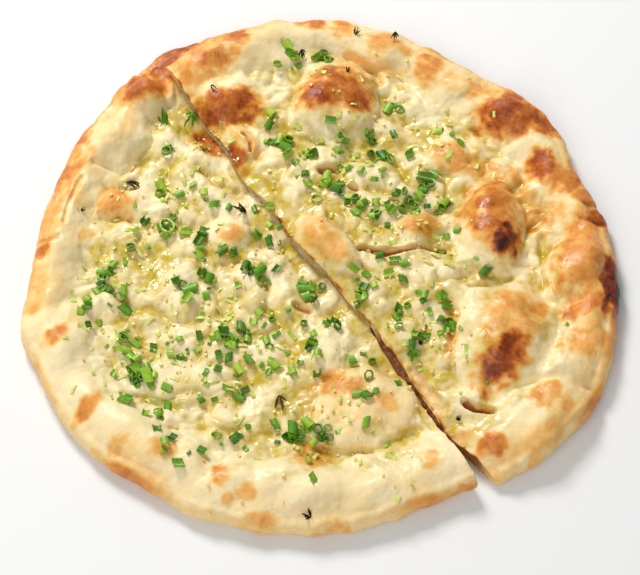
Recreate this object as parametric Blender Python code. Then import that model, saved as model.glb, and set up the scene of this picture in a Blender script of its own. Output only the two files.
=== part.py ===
"""A large round naan, cut in two with one stroke of a knife. The left half lies flat.
The right half has been turned a little, so its cut edge lies on top of the left half.

Metres, +Z up. The origin is under the middle of the whole, on the surface it lies on.
Sizes in the tables below are millimetres, and MM turns them into metres at the end.
"""

import math

import bmesh
import bpy
import numpy as np
from mathutils import Vector

MM = 0.001

# The dough
MEAN_RADIUS = 135.0
CRUMB_THICKNESS = 6.5
RIM_HEIGHT = 7.5
# The rim's crest: bearing, distance in from the outline, half width
LEFT_RIM = (
    (123, 12, 9), (150, 13, 10), (165, 11, 9), (190, 11, 9), (212, 16, 13), (240, 18, 15),
    (270, 16, 13), (300, 14, 12),
)
RIGHT_RIM = (
    (-60, 15, 12), (-45, 18, 15), (-28, 17, 13), (-8, 11, 9), (20, 11, 9), (45, 13, 10),
    (100, 12, 9), (125, 10, 8),
)
EDGE_ROUND = 5.5
EDGE_WAIST = 0.38
LUMP_HEIGHT = 0.7
LUMP_SPACING = 34.0
CREASE_DEPTH = 2.2
CREASE_WIDTH = 3.0
BLEND_POWER = 3.0

# Swells and dips of each outline: bearing in degrees, half width in degrees, height
LEFT_SWELLS = (
    (123, 9, 5.0), (135, 3, 3.0), (168, 15, -2.5), (195, 5, 4.0), (209, 20, 6.5),
    (225, 8, 2.5), (245, 6, 3.0), (258, 8, 1.5), (292, 13, -4.5),
)
RIGHT_SWELLS = (
    (-55, 4, -2.0), (-30, 22, 9.0), (-3, 9, 2.0), (9, 3, 1.5), (22, 5, -3.5), (35, 4, 1.5),
    (57, 14, -5.0), (73, 4, 1.0), (88, 7, 3.0), (99, 3, 1.0), (111, 8, -5.0), (124, 7, -7.0),
)

# Knife cuts, from the far end to the near end
LEFT_CUT = ((-60.0, 122.0), (70.0, -113.0))
RIGHT_CUT = ((-74.0, 103.0), (81.0, -113.0))
# How each cut edge wanders: y, half length along y, sideways shift
LEFT_WANDER = ((-50, 34, -2.6),)
RIGHT_WANDER = (
    (75, 14, -2.6), (45, 14, -5.2), (10, 18, -5.2), (-22, 10, -2.4), (-42, 8, 1.6), (-80, 20, -5.0),
)
WANDER_REACH = 14.0

# Blisters: x, y, half length, half width, turn in degrees, height over the crumb
LEFT_BLISTERS = (
    (-84, 91, 14, 12, 40, 11.0),
    (-97, 68, 19, 14, 55, 9.5),
    (-97, 32, 9, 8, 0, 3.5),
    (-44, 16, 11, 10, 0, 3.5),
    (-121, 8, 14, 9, 85, 8.0),
    (-116, -42, 24, 12, 80, 8.5),
    (-86, -88, 30, 14, -38, 9.0),
    (20, -74, 25, 21, 15, 5.5),
    (-30, -20, 7, 6, 30, 4.0),
    (-64, -62, 22, 12, -10, 3.5),
    (-12, -112, 34, 14, -3, 8.5),
)
RIGHT_BLISTERS = (
    (8, 88, 24, 21, 70, 12.5),
    (81, 19, 26, 16, 88, 13.0),
    (120, -5, 20, 16, 80, 12.5),
    (4, 7, 21, 12, -52, 7.5),
    (85, -42, 33, 24, 75, 11.0),
    (92, 78, 17, 15, 20, 10.5),
    (62, 57, 12, 9, 30, 5.5),
    (47, 17, 12, 8, 10, 4.5),
    (-39, 62, 13, 10, -40, 4.5),
    (-44, 84, 18, 13, 20, 4.0),
    (104, -80, 26, 16, 55, 8.5),
    (30, 116, 18, 10, 0, 8.5),
    (-28, 112, 20, 12, 10, 6.5),
)

# Creases at the foot of the blisters, each a few points along the fold
LEFT_CREASES = (
    ((-88, 102), (-77, 93), (-74, 86)),
    ((-107, 51), (-95, 48), (-82, 57)),
    ((-60, 52), (-50, 42), (-40, 38)),
    ((-136, 8), (-122, 9)),
    ((-20, -86), (0, -94), (16, -97), (31, -94), (46, -84)),
    ((-95, -70), (-72, -70), (-50, -68)),
)
RIGHT_CREASES = (
    ((14, 114), (26, 106), (30, 98)),
    ((-10, 66), (8, 60), (24, 56)),
    ((5, 22), (14, 13), (22, -6)),
    ((70, -15), (80, -13), (90, -9)),
    ((85, -70), (100, -62), (123, -66)),
    ((20, 5), (40, 3), (58, 5)),
    ((104, 14), (106, -4), (112, -20)),
)

# How the right half is carried: y, height of its underside at the cut edge
CARRY = (
    (-108, 0.0), (-88, 0.3), (-66, 1.6), (-50, 4.4), (-34, 6.9), (70, 7.6), (98, 11.4), (112, 12.6),
)
CARRY_FLAT = 20.0
CARRY_FALL = 60.0
PRESS_GAP = 0.7
PRESS_REACH = 5.0
PRESS_BLEND = 8.0
PRESS_START = -52.0
PRESS_FADE = 12.0
# The right half is pressed thinner along its cut edge: share taken off, reach
CUT_THINNING = 0.45
CUT_THINNING_REACH = 9.0
TIP_RIM_SHARE = 0.35
TIP_RIM_REACH = 46.0

# Mesh
GRID_CELLS = 50
EDGE_STEPS = 4
WELD = 0.001
FLAT_LIMIT = math.radians(0.3)

CRUST_COLOUR = (0.80, 0.60, 0.34, 1.0)
CRUST_ROUGHNESS = 0.55


def outline_radius(bearing, swells):
    """Distance from the middle to the edge, at each bearing in degrees."""
    radius = np.full_like(bearing, MEAN_RADIUS)
    for centre, half_width, height in swells:
        away = (bearing - centre + 180.0) % 360.0 - 180.0
        radius += height * np.exp(-((away / half_width) ** 2))
    return radius


def along_and_off(x, y, line):
    """Distance along a knife cut from its far end, and the distance to its right."""
    (x0, y0), (x1, y1) = line
    length = math.hypot(x1 - x0, y1 - y0)
    ux, uy = (x1 - x0) / length, (y1 - y0) / length
    along = (x - x0) * ux + (y - y0) * uy
    off = -(x - x0) * uy + (y - y0) * ux
    return along, off


def distance_to_path(x, y, path):
    nearest = np.full_like(x, np.inf)
    for (ax, ay), (bx, by) in zip(path, path[1:]):
        dx, dy = bx - ax, by - ay
        share = ((x - ax) * dx + (y - ay) * dy) / (dx * dx + dy * dy)
        share = np.clip(share, 0.0, 1.0)
        nearest = np.minimum(nearest, np.hypot(x - ax - share * dx, y - ay - share * dy))
    return nearest


def blister(x, y, centre_x, centre_y, half_length, half_width, turn, height):
    c, s = math.cos(math.radians(turn)), math.sin(math.radians(turn))
    u = ((x - centre_x) * c + (y - centre_y) * s) / half_length
    v = ((y - centre_y) * c - (x - centre_x) * s) / half_width
    return height * np.clip(1.0 - u * u - v * v, 0.0, None) ** 0.8


def lumps(x, y):
    """Soft unevenness of the dough, from waves that cross each other."""
    total = np.zeros_like(x)
    for index, turn in enumerate((12, 47, 81, 118, 152)):
        c, s = math.cos(math.radians(turn)), math.sin(math.radians(turn))
        wave_length = LUMP_SPACING * (1.0 - 0.11 * index)
        total += np.sin(2.0 * math.pi * (x * c + y * s) / wave_length + 1.7 * index)
    return LUMP_HEIGHT * total / math.sqrt(5.0)


def carry_height(y):
    return np.interp(y, [row[0] for row in CARRY], [row[1] for row in CARRY])


def smooth_fall(share):
    share = np.clip(share, 0.0, 1.0)
    return 1.0 - share * share * (3.0 - 2.0 * share)


def pressed(x, y, top):
    """The left half's top, pressed down where the right half lies on it."""
    _, inside = along_and_off(x, y, RIGHT_CUT)
    limit = carry_height(y) - PRESS_GAP
    share = smooth_fall((-inside - PRESS_REACH) / PRESS_BLEND)
    share *= smooth_fall((PRESS_START - y) / PRESS_FADE)
    return np.where(top > limit, top + (limit - top) * share, top)


def top_height(x, y, inset, blisters, creases, is_right):
    """Height of the top over the underside, at a distance inset from the outline."""
    bearing = np.degrees(np.arctan2(y, x))
    bearing = bearing if is_right else bearing % 360.0
    at, crest, width = np.array(RIGHT_RIM if is_right else LEFT_RIM, float).T
    off_crest = (inset - np.interp(bearing, at, crest)) / np.interp(bearing, at, width)
    rim = RIM_HEIGHT * np.exp(-(off_crest**2))
    if is_right:
        tip_x, tip_y = RIGHT_CUT[0]
        near_tip = smooth_fall(np.hypot(x - tip_x, y - tip_y) / TIP_RIM_REACH)
        rim *= 1.0 - (1.0 - TIP_RIM_SHARE) * near_tip
    raised = rim**BLEND_POWER
    for row in blisters:
        raised += blister(x, y, *row) ** BLEND_POWER
    top = CRUMB_THICKNESS + raised ** (1.0 / BLEND_POWER) + lumps(x, y)
    for path in creases:
        top -= CREASE_DEPTH * np.exp(-((distance_to_path(x, y, path) / CREASE_WIDTH) ** 2))
    if not is_right:
        return pressed(x, y, top)
    _, inside = along_and_off(x, y, RIGHT_CUT)
    return top * (1.0 - CUT_THINNING * smooth_fall(np.abs(inside) / CUT_THINNING_REACH))


def disc_from_square(u, v):
    """A square of side 2 pulled into a disc of radius 1, with even cells."""
    return u * np.sqrt(1.0 - v * v / 2.0), v * np.sqrt(1.0 - u * u / 2.0)


def positions(verts):
    return np.array([vert.co for vert in verts]).reshape(-1, 3)


def place(verts, x, y, z):
    for vert, place_x, place_y, place_z in zip(verts, x, y, z):
        vert.co = (float(place_x), float(place_y), float(place_z))


def dough_disc(swells, blisters, creases, is_right):
    """The whole round before it is cut: a top, a flat underside and a rounded edge."""
    mesh = bmesh.new()
    bmesh.ops.create_grid(mesh, x_segments=GRID_CELLS, y_segments=GRID_CELLS, size=1.0)
    square = positions(mesh.verts)
    disc_x, disc_y = disc_from_square(square[:, 0], square[:, 1])
    bearing = np.degrees(np.arctan2(disc_y, disc_x))
    outline = outline_radius(bearing, swells)
    share = np.hypot(disc_x, disc_y)
    shoulder = outline - EDGE_ROUND
    x, y = disc_x * shoulder, disc_y * shoulder
    top = top_height(x, y, outline - share * shoulder, blisters, creases, is_right)
    top_verts = list(mesh.verts)
    border = [edge for edge in mesh.edges if edge.is_boundary]
    copied = bmesh.ops.duplicate(mesh, geom=mesh.verts[:] + mesh.edges[:] + mesh.faces[:])
    under_verts = [item for item in copied["geom"] if isinstance(item, bmesh.types.BMVert)]
    under_faces = [item for item in copied["geom"] if isinstance(item, bmesh.types.BMFace)]
    bmesh.ops.reverse_faces(mesh, faces=under_faces)
    place(top_verts, x, y, top)
    place(under_verts, x, y, np.zeros_like(x))
    for step in range(1, EDGE_STEPS + 1):
        extruded = bmesh.ops.extrude_edge_only(mesh, edges=border)["geom"]
        ring = [item for item in extruded if isinstance(item, bmesh.types.BMVert)]
        border = [item for item in extruded if isinstance(item, bmesh.types.BMEdge)]
        border = [edge for edge in border if edge.is_boundary]
        wrap_edge(ring, step, swells, blisters, creases, is_right)
    bmesh.ops.remove_doubles(mesh, verts=mesh.verts[:], dist=WELD)
    bmesh.ops.recalc_face_normals(mesh, faces=mesh.faces[:])
    return mesh


def wrap_edge(ring, step, swells, blisters, creases, is_right):
    """Moves one extruded ring to its place round the edge, from shoulder to underside."""
    old = positions(ring)
    bearing = np.degrees(np.arctan2(old[:, 1], old[:, 0]))
    outline = outline_radius(bearing, swells)
    shoulder = outline - EDGE_ROUND
    direction_x = np.cos(np.radians(bearing))
    direction_y = np.sin(np.radians(bearing))
    rest_x, rest_y = direction_x * shoulder, direction_y * shoulder
    inset = np.full_like(rest_x, EDGE_ROUND)
    top = top_height(rest_x, rest_y, inset, blisters, creases, is_right)
    turn = math.pi / 2.0 - math.pi * step / EDGE_STEPS
    waist = top * EDGE_WAIST
    if turn >= 0.0:
        z = waist + (top - waist) * math.sin(turn)
    else:
        z = waist * (1.0 + math.sin(turn))
    radius = shoulder + EDGE_ROUND * math.cos(turn)
    place(ring, direction_x * radius, direction_y * radius, z)


def knife_cut(mesh, line, keep_right):
    """Cuts the disc with an upright knife and closes the cut face."""
    (x0, y0), (x1, y1) = line
    normal = Vector((y1 - y0, x0 - x1, 0.0)).normalized()
    if keep_right:
        normal.negate()
    bmesh.ops.bisect_plane(
        mesh,
        geom=mesh.verts[:] + mesh.edges[:] + mesh.faces[:],
        plane_co=(x0, y0, 0.0),
        plane_no=normal,
        dist=WELD,
        clear_inner=True,
    )
    open_edges = [edge for edge in mesh.edges if edge.is_boundary]
    bmesh.ops.holes_fill(mesh, edges=open_edges, sides=0)
    bmesh.ops.recalc_face_normals(mesh, faces=mesh.faces[:])


def wander(mesh, line, bends):
    """Lets a cut edge leave its straight line, less and less further into the dough."""
    verts = list(mesh.verts)
    old = positions(verts)
    x, y, z = old[:, 0], old[:, 1], old[:, 2]
    _, off = along_and_off(x, y, line)
    shift = np.zeros_like(x)
    for centre, half_length, sideways in bends:
        shift += sideways * np.exp(-(((y - centre) / half_length) ** 2))
    shift *= np.exp(-np.abs(off) / WANDER_REACH)
    (x0, y0), (x1, y1) = line
    length = math.hypot(x1 - x0, y1 - y0)
    place(verts, x - shift * (y1 - y0) / length, y + shift * (x1 - x0) / length, z)


def carry(mesh):
    """Lifts the right half's cut side on to the left half."""
    verts = list(mesh.verts)
    old = positions(verts)
    x, y, z = old[:, 0], old[:, 1], old[:, 2]
    _, inside = along_and_off(x, y, RIGHT_CUT)
    height = carry_height(y) * smooth_fall((inside - CARRY_FLAT) / CARRY_FALL)
    place(verts, x, y, z + height)


def thin_out_flat(mesh):
    """Joins the flat cells of the underside, which need no inner points."""
    flat = [face for face in mesh.faces if face.normal.z < -0.9999]
    edges = [edge for edge in mesh.edges if all(face in set(flat) for face in edge.link_faces)]
    verts = [vert for vert in mesh.verts if all(face in set(flat) for face in vert.link_faces)]
    bmesh.ops.dissolve_limit(mesh, angle_limit=FLAT_LIMIT, verts=verts, edges=edges)


def crust_material(name):
    material = bpy.data.materials.new(name)
    material.use_nodes = True
    shader = material.node_tree.nodes["Principled BSDF"]
    shader.inputs["Base Color"].default_value = CRUST_COLOUR
    shader.inputs["Roughness"].default_value = CRUST_ROUGHNESS
    shader.inputs["Metallic"].default_value = 0.0
    return material


def add_object(name, mesh, shift, collection):
    bmesh.ops.translate(mesh, vec=shift, verts=mesh.verts[:])
    bmesh.ops.scale(mesh, vec=(MM, MM, MM), verts=mesh.verts[:])
    bmesh.ops.triangulate(mesh, faces=mesh.faces[:])
    data = bpy.data.meshes.new(name)
    mesh.to_mesh(data)
    mesh.free()
    data.materials.append(crust_material(name + "_crust"))
    data.shade_smooth()
    data.set_sharp_from_angle(angle=math.radians(60.0))
    obj = bpy.data.objects.new(name, data)
    collection.objects.link(obj)
    return obj


def main():
    for obj in list(bpy.data.objects):
        bpy.data.objects.remove(obj)
    collection = bpy.data.collections.new("naan_bread")
    bpy.context.scene.collection.children.link(collection)
    left = dough_disc(LEFT_SWELLS, LEFT_BLISTERS, LEFT_CREASES, is_right=False)
    knife_cut(left, LEFT_CUT, keep_right=False)
    right = dough_disc(RIGHT_SWELLS, RIGHT_BLISTERS, RIGHT_CREASES, is_right=True)
    knife_cut(right, RIGHT_CUT, keep_right=True)
    thin_out_flat(left)
    for half, line, bends in ((left, LEFT_CUT, LEFT_WANDER), (right, RIGHT_CUT, RIGHT_WANDER)):
        bmesh.ops.triangulate(half, faces=[face for face in half.faces if len(face.verts) > 4])
        wander(half, line, bends)
    carry(right)
    both = np.concatenate([positions(left.verts), positions(right.verts)])
    low, high = both.min(axis=0), both.max(axis=0)
    shift = Vector((-(low[0] + high[0]) / 2.0, -(low[1] + high[1]) / 2.0, -low[2]))
    add_object("left_half", left, shift, collection)
    add_object("right_half", right, shift, collection)


main()
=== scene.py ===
"""The looks of a buttered naan in two halves: blistered crust, lumpy crumb, cut faces,
chopped green herb, pale shreds, minced garlic and a few charred flakes.

The shape tables are in millimetres, in the baker's own frame: +Z up, the far end of the
knife cut at +Y. The halves are moved to the frame's metres once they are shaped.
"""

import math
import random
from itertools import product

import bmesh
import bpy
import numpy as np
from mathutils import Matrix, Vector
from mathutils.bvhtree import BVHTree


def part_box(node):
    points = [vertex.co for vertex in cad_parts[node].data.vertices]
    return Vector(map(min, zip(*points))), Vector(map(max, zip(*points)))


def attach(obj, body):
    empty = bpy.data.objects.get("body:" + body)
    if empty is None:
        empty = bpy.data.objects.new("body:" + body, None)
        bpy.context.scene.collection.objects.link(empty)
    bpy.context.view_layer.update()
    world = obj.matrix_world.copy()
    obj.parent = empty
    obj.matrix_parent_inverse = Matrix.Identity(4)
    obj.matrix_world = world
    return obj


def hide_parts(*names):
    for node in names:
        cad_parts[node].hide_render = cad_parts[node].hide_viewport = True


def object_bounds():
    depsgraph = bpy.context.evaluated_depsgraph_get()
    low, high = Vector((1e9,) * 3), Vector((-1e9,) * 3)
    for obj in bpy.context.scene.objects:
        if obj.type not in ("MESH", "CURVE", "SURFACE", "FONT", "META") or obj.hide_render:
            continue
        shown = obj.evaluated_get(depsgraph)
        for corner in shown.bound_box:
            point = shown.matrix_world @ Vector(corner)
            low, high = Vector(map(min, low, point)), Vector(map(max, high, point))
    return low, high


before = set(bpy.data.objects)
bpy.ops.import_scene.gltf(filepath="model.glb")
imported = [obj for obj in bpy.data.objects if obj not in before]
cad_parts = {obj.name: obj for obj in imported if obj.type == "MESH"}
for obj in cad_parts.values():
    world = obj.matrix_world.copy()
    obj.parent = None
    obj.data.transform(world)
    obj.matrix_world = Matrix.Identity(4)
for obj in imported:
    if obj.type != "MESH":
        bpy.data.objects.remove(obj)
CAD_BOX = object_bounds()

MM = 0.001

# ---------------------------------------------------------------- the dough's form
MEAN_RADIUS = 135.0
CRUMB_THICKNESS = 6.5
RIM_HEIGHT = 7.5
# The rim's crest: bearing, distance in from the outline, half width
LEFT_RIM = ((123, 12, 9), (150, 13, 10), (165, 11, 9), (190, 11, 9), (212, 16, 13), (240, 18, 15),
            (270, 16, 13), (300, 14, 12))
RIGHT_RIM = ((-60, 15, 12), (-45, 18, 15), (-28, 17, 13), (-8, 11, 9), (20, 11, 9), (45, 13, 10),
             (100, 12, 9), (125, 10, 8))
EDGE_ROUND = 5.5
EDGE_WAIST = 0.38
LUMP_HEIGHT = 0.7
LUMP_SPACING = 34.0
BLEND_POWER = 3.0

# Swells and dips of each outline: bearing in degrees, half width in degrees, height
LEFT_SWELLS = (
    (123, 9, 5.0), (135, 3, 3.0), (168, 15, -2.5), (195, 5, 4.0), (209, 20, 6.5),
    (225, 8, 2.5), (245, 6, 3.0), (258, 8, 1.5), (292, 13, -4.5),
)
RIGHT_SWELLS = (
    (-55, 4, -2.0), (-30, 22, 9.0), (-3, 9, 2.0), (9, 3, 1.5), (22, 5, -3.5), (35, 4, 1.5),
    (57, 14, -5.0), (73, 4, 1.0), (88, 7, 3.0), (99, 3, 1.0), (111, 8, -5.0), (124, 7, -7.0),
)

# Knife cuts from the far end to the near end, and how each wanders: y, half length, shift
LEFT_CUT = ((-60.0, 122.0), (70.0, -113.0))
RIGHT_CUT = ((-74.0, 103.0), (81.0, -113.0))
LEFT_WANDER = ((-50, 34, -2.6), (-35, 3, -1.0))
RIGHT_WANDER = (
    (75, 14, -2.6), (45, 14, -5.2), (10, 18, -5.2), (-22, 10, -2.4), (-42, 8, -0.4), (-74, 9, 1.8),
    (-80, 20, -5.0),
)
WANDER_REACH = 14.0

# Blisters: x, y, half length, half width, turn in degrees, height over the crumb
LEFT_BLISTERS = (
    (-84, 91, 14, 12, 40, 11.0),
    (-97, 68, 19, 14, 55, 9.5),
    (-97, 32, 9, 8, 0, 3.5),
    (-44, 16, 11, 10, 0, 3.5),
    (-121, 8, 14, 9, 85, 8.0),
    (-116, -42, 24, 12, 80, 8.5),
    (-86, -88, 30, 14, -38, 9.0),
    (20, -74, 25, 21, 15, 5.5),
    (-30, -20, 7, 6, 30, 4.0),
    (-64, -62, 22, 12, -10, 3.5),
    (-12, -112, 34, 14, -3, 8.5),
)
RIGHT_BLISTERS = (
    (8, 88, 24, 21, 70, 12.5),
    (81, 19, 26, 16, 88, 13.0),
    (120, -5, 20, 16, 80, 12.5),
    (4, 7, 21, 12, -52, 7.5),
    (85, -42, 33, 24, 75, 11.0),
    (92, 78, 17, 15, 20, 10.5),
    (62, 57, 12, 9, 30, 5.5),
    (47, 17, 12, 8, 10, 4.5),
    (-39, 62, 12, 9, -40, 3.2),
    (-44, 84, 20, 14, 20, 2.2),
    (104, -80, 26, 16, 55, 8.5),
    (30, 116, 18, 10, 0, 8.5),
    (-28, 112, 20, 12, 10, 6.5),
)
BLISTER_RAGGED = 2.6

# Folds: depth, width and the points along each
LEFT_FOLDS = (
    (2.6, 1.6, ((-88, 102), (-77, 93), (-74, 86))),
    (2.4, 1.8, ((-107, 51), (-95, 48), (-82, 57))),
    (2.2, 1.6, ((-60, 52), (-50, 42), (-40, 38))),
    (2.2, 1.4, ((-136, 8), (-122, 9))),
    (2.4, 2.2, ((-20, -86), (0, -94), (16, -97), (31, -94), (46, -84))),
    (1.8, 1.8, ((-95, -70), (-72, -70), (-50, -68))),
    (1.6, 1.5, ((-60, -80), (-50, -85), (-40, -88))),
    (2.0, 1.2, ((-112, 42), (-116, 30), (-119, 18))),
)
RIGHT_FOLDS = (
    (2.8, 1.8, ((14, 114), (26, 106), (30, 98))),
    (2.0, 2.0, ((-10, 66), (8, 60), (24, 56))),
    (3.0, 1.6, ((5, 22), (14, 13), (22, -6))),
    (2.6, 1.8, ((70, -15), (80, -13), (90, -9))),
    (2.2, 2.2, ((85, -70), (100, -62), (123, -66))),
    (2.8, 1.8, ((104, 14), (106, -4), (112, -20))),
    (2.6, 1.4, ((83, 76), (86, 71), (88, 66))),
    (1.6, 1.2, ((124, 30), (132, 27), (140, 26))),
    (1.8, 1.2, ((121, 20), (131, 17), (140, 18))),
)
# Tears in the skin: depth, half width and the points along each
LEFT_TEARS = ((3.0, 1.5, ((-10, -22), (-5, -24))),)
RIGHT_TEARS = (
    (4.5, 1.3, ((20, 5), (30, 3), (40, 3), (50, 6), (58, 5))),
    (3.6, 2.2, ((1, 47), (6, 48))),
    (2.6, 1.3, ((15, 38), (18, 37))),
    (2.6, 1.3, ((33, 31), (36, 30))),
    (4.5, 1.3, ((66, -73), (71, -76), (77, -77))),
    (2.0, 1.5, ((43, -55), (49, -63), (57, -75))),
    (3.4, 0.7, ((-36, 65), (-33, 61), (-32, 57))),
)

# How the right half is carried: y, height of its underside at the cut edge
CARRY = (
    (-108, 0.0), (-88, 0.3), (-66, 1.6), (-50, 4.4), (-34, 6.9), (70, 7.6), (98, 11.4), (112, 12.6),
)
CARRY_FLAT = 20.0
CARRY_FALL = 60.0
PRESS_GAP = 0.7
PRESS_REACH = 5.0
PRESS_BLEND = 8.0
PRESS_START = -52.0
PRESS_FADE = 12.0
# The right half is pressed thinner along its cut edge: share taken off, reach
CUT_THINNING = 0.45
CUT_THINNING_REACH = 9.0
TIP_RIM_SHARE = 0.35
TIP_RIM_REACH = 46.0
# How far the foot of the right half's cut face sticks out, or is drawn in: y, reach
LOWER_LIP = (
    (-113, -6.0), (-97, -6.0), (-91, -2.5), (-86, 1.5), (-76, 4.2), (-66, 4.0), (-54, 3.4),
    (-42, 2.6), (-36, 0.8), (-28, -2.6), (60, -3.2), (90, -2.4), (103, -0.8),
)

# ---------------------------------------------------------------- browning
# Toasted patches: x, y, half length, half width, turn in degrees, how brown
LEFT_TOAST = (
    (-84, 95, 14, 9, 35, 0.67), (-75, 106, 12, 7, 40, 0.70), (-67, 118, 12, 7, 30, 0.76),
    (-97, 96, 8, 5, 50, 0.42), (-123, 46, 20, 9, 74, 0.50), (-129, 20, 17, 8, 85, 0.46),
    (-118, 66, 14, 6, 65, 0.44), (-97, 31, 8, 8, 0, 0.49), (-130, 3, 5, 4, 0, 0.63),
    # The patch at (-53, 66) is partly toast and partly painted shadow cast by the right half's lifted
    # edge.
    (-53, 66, 10, 6, -40, 0.70), (-42, 14, 6, 5, 0, 0.40), (-121, -42, 6, 4, 60, 0.60),
    (-132, -27, 4, 3, 0, 0.42), (-104, -78, 9, 4, 55, 0.55), (-90, -96, 6, 4, 40, 0.35),
    (-70, -99, 9, 4, 10, 0.39), (-43, -110, 6, 5, 0, 0.52), (-33, -119, 4, 4, 0, 0.40),
    (-4, -100, 8, 6, 0, 0.42), (49, -102, 5, 4, 0, 0.38), (-26, -131, 7, 4, 0, 0.42),
    (63, -117, 9, 4, 30, 0.52), (5, -135, 9, 4, 0, 0.44), (5, -63, 8, 6, 20, 0.44),
    (16, -65, 6, 5, 0, 0.45), (32, -74, 6, 5, -30, 0.39), (20, -72, 24, 17, 0, 0.20),
    (-40, -121, 3, 3, 0, 0.40), (-110, 14, 4, 3, 0, 0.35), (-99, 70, 12, 9, 55, 0.22),
)
RIGHT_TOAST = (
    (-44, 80, 17, 9, 6, 0.74), (-42, 117, 8, 7, 0, 0.62), (-50, 105, 9, 7, 20, 0.60),
    (-56, 106, 20, 13, 40, 0.46), (10, 90, 14, 13, 0, 0.70), (-2, 84, 8, 7, 0, 0.74),
    (18, 84, 8, 7, 20, 0.72), (-4, 133, 7, 6, 0, 0.60), (11, 128, 6, 6, 0, 0.52),
    (32, 120, 9, 7, 0, 0.52), (42, 116, 4, 4, 0, 0.42), (53, 105, 6, 8, 0, 0.52),
    (65, 97, 6, 5, 0, 0.32), (76, 52, 13, 6, -30, 0.42), (94, 47, 5, 5, 0, 0.42),
    (106, 50, 7, 8, 0, 0.78), (116, 42, 10, 9, 0, 0.64), (105, 25, 10, 8, 0, 0.47),
    (97, 35, 6, 5, 0, 0.42), (92, 79, 15, 12, 20, 0.76), (109, 74, 11, 8, -30, 0.74),
    (62, 57, 9, 8, 0, 0.49), (47, 17, 9, 6, 0, 0.44), (81, 24, 20, 12, 88, 0.62),
    (86, 8, 8, 6, 70, 0.94), (122, -5, 18, 14, 80, 0.58), (4, 8, 15, 7, -52, 0.38),
    (83, -54, 14, 9, 48, 0.80), (87, -36, 18, 13, 75, 0.44), (60, -39, 14, 3, 85, 0.46),
    (100, -28, 9, 4, 60, 0.46), (123, -25, 12, 6, 20, 0.62), (120, -45, 10, 8, 0, 0.45),
    (79, -94, 6, 5, 20, 0.66), (101, -71, 7, 6, 0, 0.49), (110, -76, 4, 4, 0, 0.44),
    (65, -88, 6, 5, 0, 0.34), (132, 24, 7, 7, 0, 0.77), (124, 33, 8, 6, -50, 0.60),
    (-38, 54, 9, 4, -55, 0.72), (-34, 62, 12, 4, -50, 0.30), (20, 108, 20, 5, -10, 0.30),
    (134, -14, 15, 4, 85, 0.94), (124, 12, 14, 9, 80, 0.52), (78, 92, 9, 6, -20, 0.46),
)
PATCH_RAGGED = 1.9
# Brown line along the cut's upper edge, on the left half and on the right half
CUT_LINE_TOAST = (0.22, 0.66)
CUT_LINE_WIDTH = 1.5
# How far the soft edge of a patch goes past its size
HALO = 1.55
# Browning of the outer edge: bearing, half width, how brown
LEFT_EDGE_TOAST = ((122, 14, 0.72), (152, 26, 0.58), (185, 10, 0.42), (206, 10, 0.32), (232, 10, 0.56),
                   (258, 8, 0.30), (292, 9, 0.42))
RIGHT_EDGE_TOAST = ((-30, 8, 0.50), (-6, 10, 1.10), (14, 12, 0.78), (38, 14, 0.62),
                    (62, 12, 0.50), (92, 14, 0.48), (118, 12, 0.62))
EDGE_TOAST_REACH = 4.5
# Wide, patchy gold on the rim: bearing, half width, how brown
LEFT_RIM_GOLD = ((132, 14, 0.50), (158, 19, 0.66), (188, 9, 0.34), (232, 12, 0.26), (270, 24, 0.16))
RIGHT_RIM_GOLD = ((-44, 20, 0.36), (-14, 14, 0.50), (14, 16, 0.46), (40, 16, 0.44), (74, 20, 0.30),
                  (112, 14, 0.46))
RIM_GOLD_REACH = 24.0

# ---------------------------------------------------------------- mesh fineness
FINE_CELLS = 372
UNDER_CELLS = 93
EDGE_STEPS = 14
EDGE_TURN = math.radians(165.0)
CORNER_REACH = 13.0
# Height that the foot of a cut face keeps, so it never touches the underside
CUT_FOOT = 0.35


def hashed(cell, seed):
    """A repeatable whole number for each corner of a lattice."""
    x, y, z = (cell[..., axis].astype(np.uint64) for axis in range(3))
    mixed = x * np.uint64(73856093) ^ y * np.uint64(19349663) ^ z * np.uint64(83492791)
    mixed = (mixed ^ np.uint64(seed * 2654435 + 97)) * np.uint64(6364136223846793005)
    mixed ^= mixed >> np.uint64(29)
    mixed *= np.uint64(1181783497276652981)
    return mixed >> np.uint64(33)


NOISE_TURN = np.array(Matrix.Rotation(0.7, 3, "Z") @ Matrix.Rotation(0.5, 3, "X"))


def noise(points, size, seed=0):
    """Smooth noise from about -1 to 1, with features of the given size."""
    scaled = points @ NOISE_TURN.T / size + 1000.0
    cell = np.floor(scaled).astype(np.int64)
    part = scaled - cell
    ease = part**3 * (part * (part * 6.0 - 15.0) + 10.0)
    total = np.zeros(len(points))
    for corner in product((0, 1), repeat=3):
        corner = np.array(corner)
        code = hashed(cell + corner, seed)
        gradient = [((code >> np.uint64(shift)) & np.uint64(1023)).astype(float) / 511.5 - 1.0
                    for shift in (0, 10, 20)]
        away = part - corner
        weight = np.where(corner == 1, ease, 1.0 - ease).prod(axis=1)
        total += weight * sum(gradient[axis] * away[:, axis] for axis in range(3))
    return total * 1.5


def layered_noise(points, size, layers, seed=0):
    """Noise with each layer half the size and half the strength of the last."""
    total = np.zeros(len(points))
    for layer in range(layers):
        total += noise(points, size / 2**layer, seed + layer) / 2**layer
    return total


def flat_points(x, y, height=0.0):
    return np.stack([x, y, np.full_like(x, height)], axis=1)


def smooth_fall(share):
    """1 at a share of 0, easing down to 0 at a share of 1."""
    share = np.clip(share, 0.0, 1.0)
    return 1.0 - share * share * (3.0 - 2.0 * share)


def outline_radius(bearing, swells):
    """Distance from the middle to the edge, at each bearing in degrees."""
    radius = np.full_like(bearing, MEAN_RADIUS)
    for centre, half_width, height in swells:
        away = (bearing - centre + 180.0) % 360.0 - 180.0
        radius += height * np.exp(-((away / half_width) ** 2))
    return radius


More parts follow.
